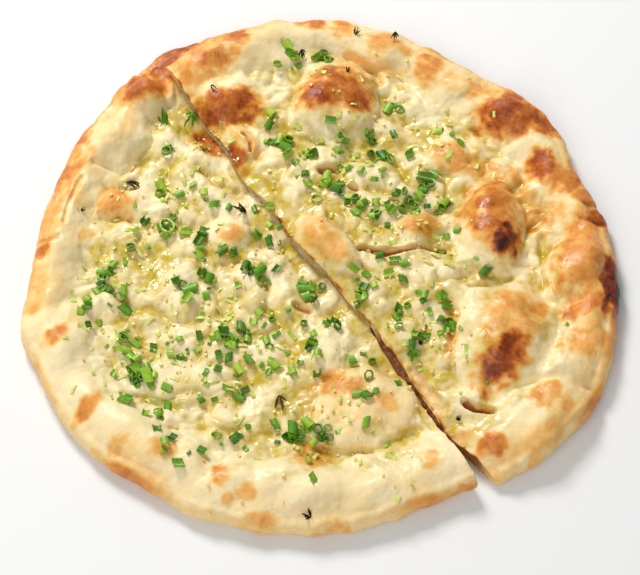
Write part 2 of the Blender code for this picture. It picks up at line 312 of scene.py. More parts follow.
def along_and_off(x, y, line):
    """Distance along a knife cut from its far end, and the distance to its right."""
    (x0, y0), (x1, y1) = line
    length = math.hypot(x1 - x0, y1 - y0)
    ux, uy = (x1 - x0) / length, (y1 - y0) / length
    along = (x - x0) * ux + (y - y0) * uy
    off = -(x - x0) * uy + (y - y0) * ux
    return along, off


def distance_to_path(x, y, path):
    """Distance from each place to the nearest point of a line of straight runs."""
    nearest = np.full_like(x, np.inf)
    for (ax, ay), (bx, by) in zip(path, path[1:]):
        dx, dy = bx - ax, by - ay
        share = ((x - ax) * dx + (y - ay) * dy) / (dx * dx + dy * dy)
        share = np.clip(share, 0.0, 1.0)
        nearest = np.minimum(nearest, np.hypot(x - ax - share * dx, y - ay - share * dy))
    return nearest


def oval(x, y, centre_x, centre_y, half_length, half_width, turn):
    """1 at the middle of an oval, 0 at its edge and below 0 outside."""
    c, s = math.cos(math.radians(turn)), math.sin(math.radians(turn))
    u = ((x - centre_x) * c + (y - centre_y) * s) / half_length
    v = ((y - centre_y) * c - (x - centre_x) * s) / half_width
    return 1.0 - u * u - v * v


def broad_lumps(x, y):
    """Soft unevenness of the dough, from waves that cross each other."""
    total = np.zeros_like(x)
    for index, turn in enumerate((12, 47, 81, 118, 152)):
        c, s = math.cos(math.radians(turn)), math.sin(math.radians(turn))
        wave_length = LUMP_SPACING * (1.0 - 0.11 * index)
        total += np.sin(2.0 * math.pi * (x * c + y * s) / wave_length + 1.7 * index)
    return LUMP_HEIGHT * total / math.sqrt(5.0)


def carry_height(y):
    """How high the right half's cut edge is carried at each y."""
    return np.interp(y, [row[0] for row in CARRY], [row[1] for row in CARRY])


class Half:
    """One half of the naan: its outline, cut, blisters, folds and browning."""

    def __init__(self, swells, cut, bends, blisters, folds, tears,
                 toast, edge_toast, rim_gold, is_right):
        self.swells = swells
        self.cut = cut
        self.bends = bends
        self.blisters = blisters
        self.folds = folds
        self.tears = tears
        self.toast = toast
        self.edge_toast = edge_toast
        self.rim_gold = rim_gold
        self.is_right = is_right
        (x0, y0), (x1, y1) = cut
        length = math.hypot(x1 - x0, y1 - y0)
        self.along = np.array([(x1 - x0) / length, (y1 - y0) / length])
        right = np.array([-self.along[1], self.along[0]])
        self.side = right if is_right else -right
        start = np.array([x0, y0])
        self.middle = start - self.along * (start @ self.along)
        self.reach = self.reach_table()

    def reach_table(self):
        """Distance from the middle of the cut to the outline, for each direction."""
        bearing = np.linspace(-180.0, 180.0, 7200, endpoint=False)
        radius = outline_radius(bearing, self.swells)
        x = radius * np.cos(np.radians(bearing)) - self.middle[0]
        y = radius * np.sin(np.radians(bearing)) - self.middle[1]
        p = x * self.along[0] + y * self.along[1]
        q = x * self.side[0] + y * self.side[1]
        angle = np.arctan2(q, p)
        order = np.argsort(angle)
        return angle[order], np.hypot(p, q)[order]

    def place(self, p, q):
        """Turns a point of the unit half disc into its place: x, y and outward direction."""
        angle = np.arctan2(np.abs(q), p)
        shoulder = np.interp(angle, *self.reach) - EDGE_ROUND
        out = np.outer(np.cos(angle), self.along) + np.outer(np.sin(angle), self.side)
        spot = self.middle + out * (np.hypot(p, q) * shoulder)[:, None]
        return spot[:, 0], spot[:, 1], out[:, 0], out[:, 1]

    def inset(self, x, y):
        """Distance in from the outline."""
        bearing = np.degrees(np.arctan2(y, x))
        return outline_radius(bearing, self.swells) - np.hypot(x, y)

    def blister_share(self, x, y):
        """0 on plain dough to 1 on top of a blister."""
        share = np.zeros_like(x)
        for cx, cy, half_length, half_width, turn, _ in self.blisters:
            share = np.maximum(share, np.clip(oval(x, y, cx, cy, half_length, half_width, turn), 0, 1))
        return share

    def top(self, x, y):
        """Height of the top over the underside."""
        where = flat_points(x, y)
        bent_x = x + BLISTER_RAGGED * noise(where, 14.0, 3)
        bent_y = y + BLISTER_RAGGED * noise(where, 14.0, 4)
        inset = self.inset(x, y)
        bearing = np.degrees(np.arctan2(y, x))
        bearing = bearing if self.is_right else bearing % 360.0
        at, crest, width = np.array(RIGHT_RIM if self.is_right else LEFT_RIM, float).T
        off_crest = (inset - np.interp(bearing, at, crest)) / np.interp(bearing, at, width)
        rim = RIM_HEIGHT * np.exp(-(off_crest**2))
        if self.is_right:
            tip_x, tip_y = RIGHT_CUT[0]
            near_tip = smooth_fall(np.hypot(x - tip_x, y - tip_y) / TIP_RIM_REACH)
            rim *= 1.0 - (1.0 - TIP_RIM_SHARE) * near_tip
        raised = rim**BLEND_POWER
        for cx, cy, half_length, half_width, turn, height in self.blisters:
            cap = np.clip(oval(bent_x, bent_y, cx, cy, half_length, half_width, turn), 0.0, None)
            raised += (height * cap**0.8) ** BLEND_POWER
        height = CRUMB_THICKNESS + raised ** (1.0 / BLEND_POWER) + broad_lumps(x, y)
        rough = self.roughness_share(x, y)
        height += rough * self.crumb_lumps(x, y)
        for depth, width, path in self.folds:
            gap = distance_to_path(bent_x, bent_y, path)
            height -= depth * np.exp(-((gap / width) ** 2))
        for depth, width, path in self.tears:
            gap = distance_to_path(bent_x, y + 0.8 * noise(where, 5.0, 9), path)
            height -= depth * smooth_fall((gap - width * 0.5) / width)
            height += 0.5 * np.exp(-(((gap - width * 1.9) / 0.9) ** 2))
        height = np.maximum(height, 1.6)
        if not self.is_right:
            return self.pressed(x, y, height)
        _, inside = along_and_off(x, y, RIGHT_CUT)
        return height * (1.0 - CUT_THINNING * smooth_fall(np.abs(inside) / CUT_THINNING_REACH))

    def roughness_share(self, x, y):
        """How craggy the dough is: most in the middle, least on the rim and blisters."""
        inner = 1.0 - smooth_fall((self.inset(x, y) - 14.0) / 16.0)
        smooth_skin = np.clip(self.blister_share(x, y) * 2.2, 0.0, 1.0)
        return (0.16 + 0.84 * inner) * (1.0 - 0.82 * smooth_skin)

    def crumb_lumps(self, x, y):
        """Puffs and pits of the buttered middle, with creases between the puffs."""
        where = flat_points(x, y)
        drift = np.stack([noise(where, 14.0, 21), noise(where, 14.0, 22), where[:, 2]], axis=1)
        bent = where + 3.0 * drift
        puffs = 5.4 * np.abs(noise(bent, 20.0, 31)) + 2.6 * np.abs(noise(bent, 10.0, 32))
        grains = 0.95 * np.abs(noise(bent, 4.8, 33)) + 0.22 * noise(bent, 2.3, 34)
        return puffs + grains - 2.2

    def pressed(self, x, y, height):
        """The left half's top, pressed down where the right half lies on it."""
        _, inside = along_and_off(x, y, RIGHT_CUT)
        limit = carry_height(y) - PRESS_GAP
        share = smooth_fall((-inside - PRESS_REACH) / PRESS_BLEND)
        share *= smooth_fall((PRESS_START - y) / PRESS_FADE)
        return np.where(height > limit, height + (limit - height) * share, height)


def disc_from_square(u, v):
    """A square of side 2 pulled into a disc of radius 1, with even cells."""
    return u * np.sqrt(1.0 - v * v / 2.0), v * np.sqrt(1.0 - u * u / 2.0)


def half_disc_grid(mesh, cells):
    """A flat half disc of even cells, its straight side along the first axis."""
    made = bmesh.ops.create_grid(mesh, x_segments=cells, y_segments=cells // 2, size=1.0)
    verts = made["verts"]
    square = np.array([vert.co for vert in verts])
    return verts, disc_from_square(square[:, 0], (square[:, 1] + 1.0) / 2.0)


def lip_reach(half, y):
    """How far the lower crust sticks out of the right half's cut face."""
    if not half.is_right:
        return 0.0
    return float(np.interp(y, [row[0] for row in LOWER_LIP], [row[1] for row in LOWER_LIP]))


HOME_LAYERS = ("home_x", "home_y", "home_top", "out_x", "out_y", "wall")


def shape_half(half):
    """The closed shape of one half, in millimetres and before it is carried: the top from
    a fine grid, its border run down round the edge and down the cut, and an underside."""
    mesh = bmesh.new()
    layers = [mesh.verts.layers.float.new(name) for name in HOME_LAYERS]
    zone = mesh.verts.layers.int.new("zone")
    verts, (p, q) = half_disc_grid(mesh, FINE_CELLS)
    x, y, out_x, out_y = half.place(p, q)
    top = half.top(x, y)
    on_cut = q < 1e-6
    to_corner = np.interp(np.where(p > 0, 0.0, math.pi), *half.reach) - EDGE_ROUND
    corner_share = smooth_fall((1.0 - np.abs(p)) * to_corner / CORNER_REACH)
    wall = np.where(on_cut, 1.0 - corner_share, 0.0)
    for index, vert in enumerate(verts):
        vert.co = (x[index], y[index], top[index])
        for layer, values in zip(layers, (x, y, top, out_x, out_y, wall)):
            vert[layer] = float(values[index])
    border = [edge for edge in mesh.edges if edge.is_boundary]
    for step in range(1, EDGE_STEPS + 1):
        extruded = bmesh.ops.extrude_edge_only(mesh, edges=border)["geom"]
        ring = [item for item in extruded if isinstance(item, bmesh.types.BMVert)]
        border = [item for item in extruded
                  if isinstance(item, bmesh.types.BMEdge) and item.is_boundary]
        run_down(half, ring, layers, zone, step / EDGE_STEPS)
    under, (p, q) = half_disc_grid(mesh, UNDER_CELLS)
    x, y, _, _ = half.place(p, q)
    for index, vert in enumerate(under):
        vert.co = (x[index], y[index], 0.0)
        vert[zone] = 3
    under_set = set(under)
    under_border = [edge for edge in mesh.edges if edge.is_boundary and edge.verts[0] in under_set]
    bmesh.ops.bridge_loops(mesh, edges=border + under_border)
    bmesh.ops.recalc_face_normals(mesh, faces=mesh.faces[:])
    return mesh


def run_down(half, ring, layers, zone, share):
    """Moves a ring of the border to its place: round the edge, or straight down the cut."""
    turn = math.pi / 2.0 - EDGE_TURN * share
    for vert in ring:
        x, y, top, out_x, out_y, wall = (vert[layer] for layer in layers)
        waist = top * EDGE_WAIST
        if turn >= 0.0:
            round_z = waist + (top - waist) * math.sin(turn)
        else:
            round_z = waist * (1.0 + math.sin(turn))
        wall_z = top + (CUT_FOOT - top) * share
        bulge = EDGE_ROUND * math.cos(turn) * (1.0 - wall) ** 2
        lip = lip_reach(half, y)
        lip *= wall * (share**2 if lip > 0.0 else share)
        vert.co = (x + out_x * bulge - half.side[0] * lip, y + out_y * bulge - half.side[1] * lip,
                   round_z + (wall_z - round_z) * wall)
        vert[zone] = 2 if wall > 0.5 else 1


def wandered(half, x, y):
    """The sideways bends of a cut edge, less and less further into the dough."""
    _, off = along_and_off(x, y, half.cut)
    shift = np.zeros_like(x)
    for centre, half_length, sideways in half.bends:
        shift += sideways * np.exp(-(((y - centre) / half_length) ** 2))
    shift *= np.exp(-np.abs(off) / WANDER_REACH)
    return x - shift * half.along[1], y + shift * half.along[0]


def carried(half, x, y):
    """How far the right half is lifted at each place."""
    if not half.is_right:
        return np.zeros_like(x)
    _, inside = along_and_off(x, y, RIGHT_CUT)
    return carry_height(y) * smooth_fall((inside - CARRY_FLAT) / CARRY_FALL)


def row_shift():
    """From the baker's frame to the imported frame, in metres."""
    low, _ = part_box("left_half")
    bearing = np.linspace(120.0, 300.0, 3600)
    radius = outline_radius(bearing, LEFT_SWELLS)
    own_low_x = (radius * np.cos(np.radians(bearing))).min()
    own_low_y = (radius * np.sin(np.radians(bearing))).min()
    return Vector((low.x - own_low_x * MM, low.y - own_low_y * MM, 0.0))


def read_vectors(data, source, attribute="co"):
    values = np.empty(len(source) * 3, np.float32)
    source.foreach_get(attribute, values)
    return values.reshape(-1, 3).astype(float)


def read_zone(data):
    """0 on the top, 1 round the outer edge, 2 on the cut face, 3 on the underside."""
    zone = np.empty(len(data.vertices), np.int32)
    data.attributes["zone"].data.foreach_get("value", zone)
    return zone


def write_float(data, name, values):
    attribute = data.attributes.get(name) or data.attributes.new(name, "FLOAT", "POINT")
    attribute.data.foreach_set("value", np.ascontiguousarray(values, np.float32))


def toast_map(half, x, y, z, zone):
    """How brown each point is, from 0 for pale dough to 1 for the darkest blisters."""
    where = np.stack([x, y, z], axis=1)
    bent_x = x + PATCH_RAGGED * noise(where, 9.0, 41) + 0.9 * noise(where, 3.5, 43)
    bent_y = y + PATCH_RAGGED * noise(where, 9.0, 42) + 0.9 * noise(where, 3.5, 44)
    broken = layered_noise(where, 6.0, 3, 46)
    toast = np.zeros_like(x)
    for cx, cy, half_length, half_width, turn, strength in half.toast:
        share = oval(bent_x, bent_y, cx, cy, half_length * HALO, half_width * HALO, turn)
        toast = np.maximum(toast, strength * (1.0 - smooth_fall(share + 0.35 * broken)))
    bearing = np.degrees(np.arctan2(y, x))
    edge = np.full_like(x, 0.20)
    for centre, half_width, strength in half.edge_toast:
        away = (bearing - centre + 180.0) % 360.0 - 180.0
        edge = np.maximum(edge, strength * np.exp(-((away / half_width) ** 2)))
    inset = half.inset(x, y) + 1.8 * noise(where, 10.0, 45)
    edge *= smooth_fall((inset - 1.0) / EDGE_TOAST_REACH) * (zone != 2)
    gold = np.zeros_like(x)
    for centre, half_width, strength in half.rim_gold:
        away = (bearing - centre + 180.0) % 360.0 - 180.0
        gold = np.maximum(gold, strength * np.exp(-((away / half_width) ** 2)))
    patchy = np.clip(0.85 + 1.6 * layered_noise(where, 15.0, 3, 47), 0, 1)
    gold *= smooth_fall((inset - 3.0) / RIM_GOLD_REACH) * patchy
    off = along_and_off(x, y, half.cut)[1]
    line = CUT_LINE_TOAST[half.is_right] * smooth_fall(np.abs(off) / CUT_LINE_WIDTH) * (0.8 + broken)
    return np.maximum(np.maximum(toast, edge), np.maximum(gold, line * (zone == 0)))


def paint_half(half, data):
    """Stores how toasted, buttered and torn each point is, for the crust's material, with painted shade
    in the hollows, tears and right cut face, and painted light on raised dough.
    """
    points = read_vectors(data, data.vertices)
    zone = read_zone(data)
    x, y, z = points.T
    inset = half.inset(x, y)
    toast = toast_map(half, x, y, z, zone)
    inner = 1.0 - smooth_fall((inset - 14.0) / 18.0)
    top = half.top(x, y)
    around = CRUMB_THICKNESS + broad_lumps(x, y)
    # Painted shade: dough below its surroundings gets the butter tint, which stands for butter pooling
    # there and also darkens the hollows as shade.
    low = np.clip((around + 0.5 - top) / 2.2, 0.0, 1.0)
    pool = layered_noise(points, 13.0, 3, 61)
    butter_and_shade = np.clip(inner * (0.20 + 1.15 * low + 0.9 * pool), 0.0, 1.0) * (zone == 0)
    # Painted light: raised dough away from the hollows turns paler, partly the crumb's own colour and
    # partly light on the tops.
    milky_and_lit = np.clip(inner * (0.95 - 1.5 * low - 0.5 * pool), 0.0, 1.0) * (zone == 0)
    torn = np.zeros_like(x)
    tear_shade = np.zeros_like(x)
    # Each tear marks its torn crumb and paints shade into its bottom, darker for deeper tears.
    for deep, width, path in half.tears:
        gap = distance_to_path(x, y, path)
        torn = np.maximum(torn, smooth_fall((gap - width * 0.6) / (width * 1.2)))
        tear_shade = np.maximum(tear_shade, smooth_fall(gap / (width * 1.8)) * deep / 3.6)
    torn *= zone == 0
    torn = np.maximum(torn, (zone == 2) * 1.0)
    depth = np.clip((top - z) / np.maximum(top, 1.0), 0.0, 1.0)
    # Painted shade on the right half's cut face below its top edge, strongest where the lower lip of
    # bottom crust sticks out, where it also stands for that crust.
    lip = np.interp(y, [row[0] for row in LOWER_LIP], [row[1] for row in LOWER_LIP]) * half.is_right
    lip_crust_and_shade = np.where(lip > 0.0, np.clip(lip / 2.0, 0.0, 1.0), 0.6) * half.is_right * (zone == 2)
    lip_crust_and_shade *= np.clip(depth * 6.0, 0.0, 1.0)
    write_float(data, "toast", toast)
    write_float(data, "butter_and_shade", butter_and_shade)
    write_float(data, "milky_and_lit", milky_and_lit)
    write_float(data, "torn", torn)
    # On the top this carries the painted shade in the tears; on the cut face, the depth down toward the
    # bottom crust.
    write_float(data, "depth", np.where(zone == 0, tear_shade, depth))
    write_float(data, "lip_crust_and_shade", lip_crust_and_shade)
    write_float(data, "under", (zone == 3) * 1.0)


def settle_half(half, data):
    """Cut wander, lift and fine unevenness, then the move to metres in the frame."""
    points = read_vectors(data, data.vertices)
    zone = read_zone(data)
    normals = read_vectors(data, data.vertices, "normal")
    rough = half.roughness_share(points[:, 0], points[:, 1])
    fine = 0.16 * noise(points, 2.0, 51) + 0.45 * noise(points, 5.0, 52) + 0.9 * noise(points, 12.0, 53)
    crumb = 0.5 * noise(points, 3.2, 54) + 0.7 * noise(points * (1.0, 1.0, 2.2), 7.0, 55)
    push = np.where(zone == 2, crumb, fine * (0.75 + 0.25 * rough))
    push = np.where(zone == 1, push * 1.5, push)
    push = np.where(zone == 3, 0.0, push)
    push *= np.clip(points[:, 2] / 1.5, 0.0, 1.0)
    points += normals * push[:, None]
    points[:, 2] = np.maximum(points[:, 2], 0.0)
    x, y = wandered(half, points[:, 0], points[:, 1])
    z = points[:, 2] + carried(half, x, y)
    shift = row_shift()
    placed = np.stack([x, y, z], axis=1) * MM + np.array(shift)
    data.vertices.foreach_set("co", placed.astype(np.float32).ravel())
    data.update()


def build_half(name, node, half, material):
    """One finished half, in place of its node."""
    mesh = shape_half(half)
    data = bpy.data.meshes.new(name)
    mesh.to_mesh(data)
    mesh.free()
    paint_half(half, data)
    settle_half(half, data)
    data.shade_smooth()
    data.materials.append(material)
    piece = bpy.data.objects.new(name, data)
    bpy.context.scene.collection.objects.link(piece)
    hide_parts(node)
    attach(piece, "root")
    return piece


# ---------------------------------------------------------------- materials
def linear(red, green, blue):
    """A display colour, 0 to 255, as the shader's linear colour."""
    parts = [part / 255.0 for part in (red, green, blue)]
    parts = [part / 12.92 if part <= 0.04045 else ((part + 0.055) / 1.055) ** 2.4 for part in parts]
    return (*parts, 1.0)


class Nodes:
    """A short way to write a material's nodes and links."""

    def __init__(self, name):
        self.material = bpy.data.materials.new(name)
        self.material.use_nodes = True
        self.tree = self.material.node_tree
        self.shader = self.tree.nodes["Principled BSDF"]

    def feed(self, socket, value):
        if isinstance(value, bpy.types.NodeSocket):
            self.tree.links.new(value, socket)
        elif value is not None:
            socket.default_value = value

    def math(self, operation, first, second=0.5, clamp=False):
        node = self.tree.nodes.new("ShaderNodeMath")
        node.operation = operation
        node.use_clamp = clamp
        self.feed(node.inputs[0], first)
        self.feed(node.inputs[1], second)
        return node.outputs[0]

    def span(self, value, low, high, out_low=0.0, out_high=1.0):
        node = self.tree.nodes.new("ShaderNodeMapRange")
        node.interpolation_type = "SMOOTHSTEP"
        self.feed(node.inputs["Value"], value)
        node.inputs["From Min"].default_value = low
        node.inputs["From Max"].default_value = high
        node.inputs["To Min"].default_value = out_low
        node.inputs["To Max"].default_value = out_high
        return node.outputs["Result"]

    def mix(self, share, first, second, blend="MIX"):
        node = self.tree.nodes.new("ShaderNodeMix")
        node.data_type = "RGBA"
        node.blend_type = blend
        self.feed(node.inputs["Factor"], share)
        self.feed(node.inputs[6], first)
        self.feed(node.inputs[7], second)
        return node.outputs[2]

    def attribute(self, name):
        node = self.tree.nodes.new("ShaderNodeAttribute")
        node.attribute_name = name
        return node.outputs["Fac"]

    def grain(self, size_mm, detail=2.0, rough=0.5):
        node = self.tree.nodes.new("ShaderNodeTexNoise")
        place = self.tree.nodes.new("ShaderNodeTexCoord").outputs["Object"]
        self.feed(node.inputs["Vector"], place)
        node.inputs["Scale"].default_value = 1.0 / (size_mm * MM)
        node.inputs["Detail"].default_value = detail
        node.inputs["Roughness"].default_value = rough
        return node.outputs["Fac"]

    def ramp(self, value, stops):
        node = self.tree.nodes.new("ShaderNodeValToRGB")
        self.feed(node.inputs["Fac"], value)
        points = node.color_ramp.elements
        while len(points) < len(stops):
            points.new(1.0)
        for point, (position, colour) in zip(points, stops):
            point.position = position
            point.color = colour
        return node.outputs["Color"]

    def bump(self, height, strength, distance_mm, under=None):
        node = self.tree.nodes.new("ShaderNodeBump")
        node.inputs["Strength"].default_value = strength
        node.inputs["Distance"].default_value = distance_mm * MM
        self.feed(node.inputs["Height"], height)
        self.feed(node.inputs["Normal"], under)
        return node.outputs["Normal"]

    def soften(self, weight, scale_mm):
        self.shader.inputs["Subsurface Weight"].default_value = weight
        self.shader.inputs["Subsurface Radius"].default_value = (1.0, 0.5, 0.25)
        self.shader.inputs["Subsurface Scale"].default_value = scale_mm * MM


CREAM = linear(247, 227, 178)
STRAW = linear(245, 214, 152)
GOLD = linear(240, 188, 106)
AMBER = linear(226, 150, 66)
TAN = linear(196, 108, 34)
BROWN = linear(154, 66, 10)
DARK = linear(108, 38, 8)
CHAR = linear(56, 24, 12)
# Butter tint, which also paints shade into the hollows
BUTTER_AND_SHADE = linear(208, 196, 74)
# Paler tops: partly the crumb's own colour, partly painted light.
MILKY_AND_LIT = linear(247, 229, 180)
CRUMB = linear(243, 216, 148)
CRUMB_TOASTED = linear(196, 126, 52)
# Dark brown on the right half's cut face: the bottom crust on its lower lip, and painted shade over the
# rest.
LIP_CRUST_AND_SHADE = linear(112, 50, 20)


def crust_material():
    """Baked dough: cream to char as it toasts, buttery with painted shade in the hollows, paler
    painted-lit tops, crumb where cut, and painted shade in tears and on the right cut face.
    """
    nodes = Nodes("baked_dough")
    toast = nodes.attribute("toast")
    butter_and_shade = nodes.attribute("butter_and_shade")
    torn = nodes.attribute("torn")
    depth = nodes.attribute("depth")
    under = nodes.attribute("under")
    cloud = nodes.grain(22.0, detail=3.0)
    mottle = nodes.grain(5.0, detail=4.0, rough=0.6)
    speck = nodes.grain(1.6, detail=3.0, rough=0.6)
    spread = nodes.math("MULTIPLY", nodes.math("SUBTRACT", cloud), 0.32)
    blotch = nodes.math("MULTIPLY", nodes.math("SUBTRACT", mottle), 0.22)
    fleck = nodes.math("MULTIPLY", nodes.math("SUBTRACT", speck), 0.16)
    uneven = nodes.math("ADD", nodes.math("ADD", spread, blotch), fleck)
    livelier = nodes.math("ADD", nodes.math("MULTIPLY", toast, 1.1), 0.75)
    browned = nodes.math("ADD", toast, nodes.math("MULTIPLY", uneven, livelier))
    colour = nodes.ramp(browned, (
        (0.0, CREAM), (0.17, STRAW), (0.34, GOLD), (0.50, AMBER), (0.66, TAN), (0.80, BROWN),
        (0.92, DARK), (1.0, CHAR)))
    # Painted light: little-toasted raised dough is drawn paler.
    pale = nodes.math("MULTIPLY", nodes.attribute("milky_and_lit"), nodes.span(toast, 0.0, 0.3, 0.6, 0.0))
    colour = nodes.mix(pale, colour, MILKY_AND_LIT)
    # The butter tint multiplies over the colour in the hollows: partly real butter, partly painted
    # shade.
    wet_and_shaded = nodes.math("MULTIPLY", butter_and_shade, nodes.span(mottle, 0.35, 0.65, 0.45, 1.0))
    colour = nodes.mix(wet_and_shaded, colour, nodes.mix(1.0, colour, BUTTER_AND_SHADE, "MULTIPLY"))
    section = nodes.mix(nodes.span(mottle, 0.35, 0.7, 0.1, 0.7), CRUMB, CRUMB_TOASTED)
    # Brown toward the foot of the cut face for the bottom crust, and painted shade in the bottoms of
    # tears.
    brown_foot_and_tear_shade = nodes.span(depth, 0.5, 1.0, 0.0, 0.85)
    section = nodes.mix(brown_foot_and_tear_shade, section, BROWN)
    # Darker on the right half's cut face: bottom crust on its lower lip, painted shade over the rest.
    lip_crust_and_shade = nodes.math("MULTIPLY", nodes.attribute("lip_crust_and_shade"), nodes.span(speck, 0.3, 0.6, 0.75, 1.0))
    section = nodes.mix(lip_crust_and_shade, section, LIP_CRUST_AND_SHADE)
    colour = nodes.mix(torn, colour, section)
    scorched = nodes.ramp(nodes.grain(26.0, detail=4.0, rough=0.6), (
        (0.0, CREAM), (0.42, STRAW), (0.54, GOLD), (0.64, TAN), (0.76, BROWN)))
    colour = nodes.mix(under, colour, scorched)
    nodes.feed(nodes.shader.inputs["Base Color"], colour)
    shine = nodes.span(nodes.grain(9.0, detail=2.0), 0.35, 0.65, 0.56, 0.32)
    gloss = nodes.math("SUBTRACT", shine, nodes.math("MULTIPLY", butter_and_shade, 0.22))
    dull = nodes.math("MULTIPLY", nodes.math("MAXIMUM", torn, under), 0.3)
    gloss = nodes.math("ADD", gloss, dull, clamp=True)
    nodes.feed(nodes.shader.inputs["Roughness"], gloss)
    skin = nodes.bump(nodes.grain(1.8, detail=2.0, rough=0.5), 0.4, 0.3)
    skin = nodes.bump(nodes.grain(4.0, detail=3.0), 0.5, 0.7, under=skin)
    nodes.feed(nodes.shader.inputs["Normal"], skin)
    nodes.shader.inputs["Specular IOR Level"].default_value = 0.38
    nodes.soften(0.12, 2.0)
    return nodes.material


HERB_BRIGHT = linear(174, 202, 62)
HERB_GREEN = linear(108, 164, 24)
HERB_DEEP = linear(48, 102, 6)
SHRED_PALE = linear(218, 220, 120)
SHRED_GREEN = linear(172, 200, 66)
GARLIC_PALE = linear(246, 216, 134)
GARLIC_GOLD = linear(228, 170, 74)
LEAF_BLACK = linear(34, 28, 14)
LEAF_BROWN = linear(84, 66, 30)


def morsel_material(name, colours, roughness, streaks):
    """One topping: each bit has its own shade, with fine streaks along it."""
    nodes = Nodes(name)
    shade = nodes.attribute("shade")
    fibre = nodes.tree.nodes.new("ShaderNodeTexNoise")
    fibre.noise_dimensions = "1D"
    fibre.inputs["Detail"].default_value = 1.0
    nodes.feed(fibre.inputs["W"], nodes.math("MULTIPLY", nodes.attribute("across"), 2.2))
    streak = nodes.math("MULTIPLY", nodes.math("SUBTRACT", fibre.outputs["Fac"]), streaks)
    cloud = nodes.math("MULTIPLY", nodes.math("SUBTRACT", nodes.grain(1.8)), 0.5)
    share = nodes.math("ADD", nodes.math("ADD", shade, streak), cloud, clamp=True)
    stops = tuple(zip((0.0, 0.5, 1.0), colours))
    nodes.feed(nodes.shader.inputs["Base Color"], nodes.ramp(share, stops))
    nodes.feed(nodes.shader.inputs["Roughness"],
               nodes.span(nodes.grain(1.1, detail=1.0), 0.3, 0.7, roughness - 0.08, roughness + 0.14))
    nodes.feed(nodes.shader.inputs["Normal"], nodes.bump(fibre.outputs["Fac"], 0.3, 0.15))
    nodes.soften(0.15, 1.0)
    return nodes.material


# ---------------------------------------------------------------- toppings
# Where the chopped green lies thickest: x, y, spread, how many
HERB_CLUSTERS = (
    (-80, -58, 7, 20), (-88, -44, 6, 11), (-100, -8, 6, 9), (-94, -20, 6, 5), (-60, -15, 6, 9),
    (-43, -40, 7, 12), (-30, -8, 7, 9), (-4, -15, 4, 8), (-12, -86, 7, 12), (1, -89, 5, 8),
    (-71, 17, 4, 5), (-57, 12, 3, 3), (-20, -55, 12, 16), (-60, -40, 10, 11), (-45, -63, 10, 11),
    (-76, -76, 9, 8), (18, -52, 10, 5), (-22, 14, 9, 7), (-62, 36, 9, 7), (-88, 12, 9, 7),
    (-105, -30, 6, 5), (-40, -90, 9, 8), (-25, -35, 9, 11), (0, -40, 9, 8), (-50, 2, 9, 8),
    (24, -88, 6, 3), (-62, -104, 6, 2), (-5, -112, 8, 2), (-68, -92, 9, 5), (30, -70, 8, 3),
    (-72, 60, 6, 3), (-42, 30, 8, 3),
    (51, 43, 4, 5), (20, -20, 4, 7), (-18, 57, 5, 8), (-6, 54, 4, 7), (30, 57, 5, 7), (-14, 110, 4, 5),
    (1, 112, 4, 5), (58, 30, 4, 3), (50, -24, 6, 7), (34, -30, 6, 6), (22, -14, 6, 5), (60, -34, 5, 4),
    (8, 36, 9, 16), (26, 24, 9, 15), (42, 30, 7, 10), (20, 48, 10, 10), (-14, 44, 6, 5),
    (44, -46, 6, 7), (62, 10, 5, 3), (36, -8, 7, 5), (28, 72, 6, 3), (-26, 74, 6, 2), (60, 72, 6, 3),
    (38, 88, 7, 3), (-20, 96, 6, 2), (12, 62, 7, 5), (58, -40, 6, 3), (70, -2, 5, 2), (98, 100, 3, 1),
    (110, -33, 3, 1), (75, -67, 2, 1),
)
SHRED_CLUSTERS = (
    (-80, -50, 24, 46), (-40, -30, 28, 60), (-10, -75, 24, 34), (-70, 25, 24, 40), (-100, 0, 12, 16),
    (20, 40, 28, 60), (45, 10, 22, 34), (50, -40, 16, 24), (10, 70, 24, 26), (60, 75, 18, 12),
    (30, -110, 16, 6), (-60, 60, 14, 14),
)
GARLIC_CLUSTERS = (
    (-70, -45, 30, 34), (-30, -20, 30, 36), (0, -70, 28, 24), (-80, 20, 24, 18), (20, 35, 28, 32),
    (50, 0, 20, 22), (45, -50, 16, 16), (20, -90, 24, 14), (30, 80, 26, 12), (-30, -110, 24, 8),
)
# Charred flakes: x, y, length
CHAR_FLAKES = (
    (-88, 40, 9.0), (-38, 25, 9.0), (-17, -75, 8.0), (-6, -128, 6.0), (-8, 110, 6.0), (-56, 118, 5.0),
    (-50, 106, 5.0), (-51, 88, 4.0), (36, 119, 5.0), (18, 124, 4.5), (46, -44, 4.0),
    (14, 100, 4.0), (-112, 26, 3.0), (62, -80, 4.0), (40, -63, 3.0),
)
DARK_LEAVES = ((-75, 80, 10.0), (-62, 78, 11.0), (-3, -20, 7.0), (-56, 60, 6.0), (20, -21, 6.0))
# Single large slices: x, y, size
BIG_RINGS = ((-71, 17, 8.5), (-90, -40, 5.5), (-101, -8, 5.0), (52, 42, 5.0), (-28, -10, 5.5))
# Single large lengths: x, y, length, width
BIG_CHIPS = (
    (-57, 12, 8.0, 3.6), (51, 45, 7.0, 4.0), (-60, -16, 7.0, 4.5), (-41, -42, 7.0, 5.0),
    (-44, -38, 5.0, 4.5), (-29, -7, 7.0, 4.5), (-78, -60, 7.0, 5.0), (-82, -56, 6.5, 4.5),
    (-86, -50, 7.0, 4.0), (20, -20, 6.5, 4.5), (-17, 57, 5.5, 4.5), (30, 57, 5.5, 4.5),
    (-13, 110, 6.0, 4.5), (2, 112, 6.5, 4.0), (-12, -85, 6.0, 4.5), (59, 31, 5.5, 4.0),
    (-76, 42, 6.5, 3.2), (-90, -25, 6.0, 4.0), (43, 58, 4.5, 3.5), (-8, -14, 6.0, 4.0),
)
HERB_SEED = 11
# How deep each bit sits in the butter
SINK = 0.25
LEAF_THICKNESS = 0.3
BIG_WALL = 0.8
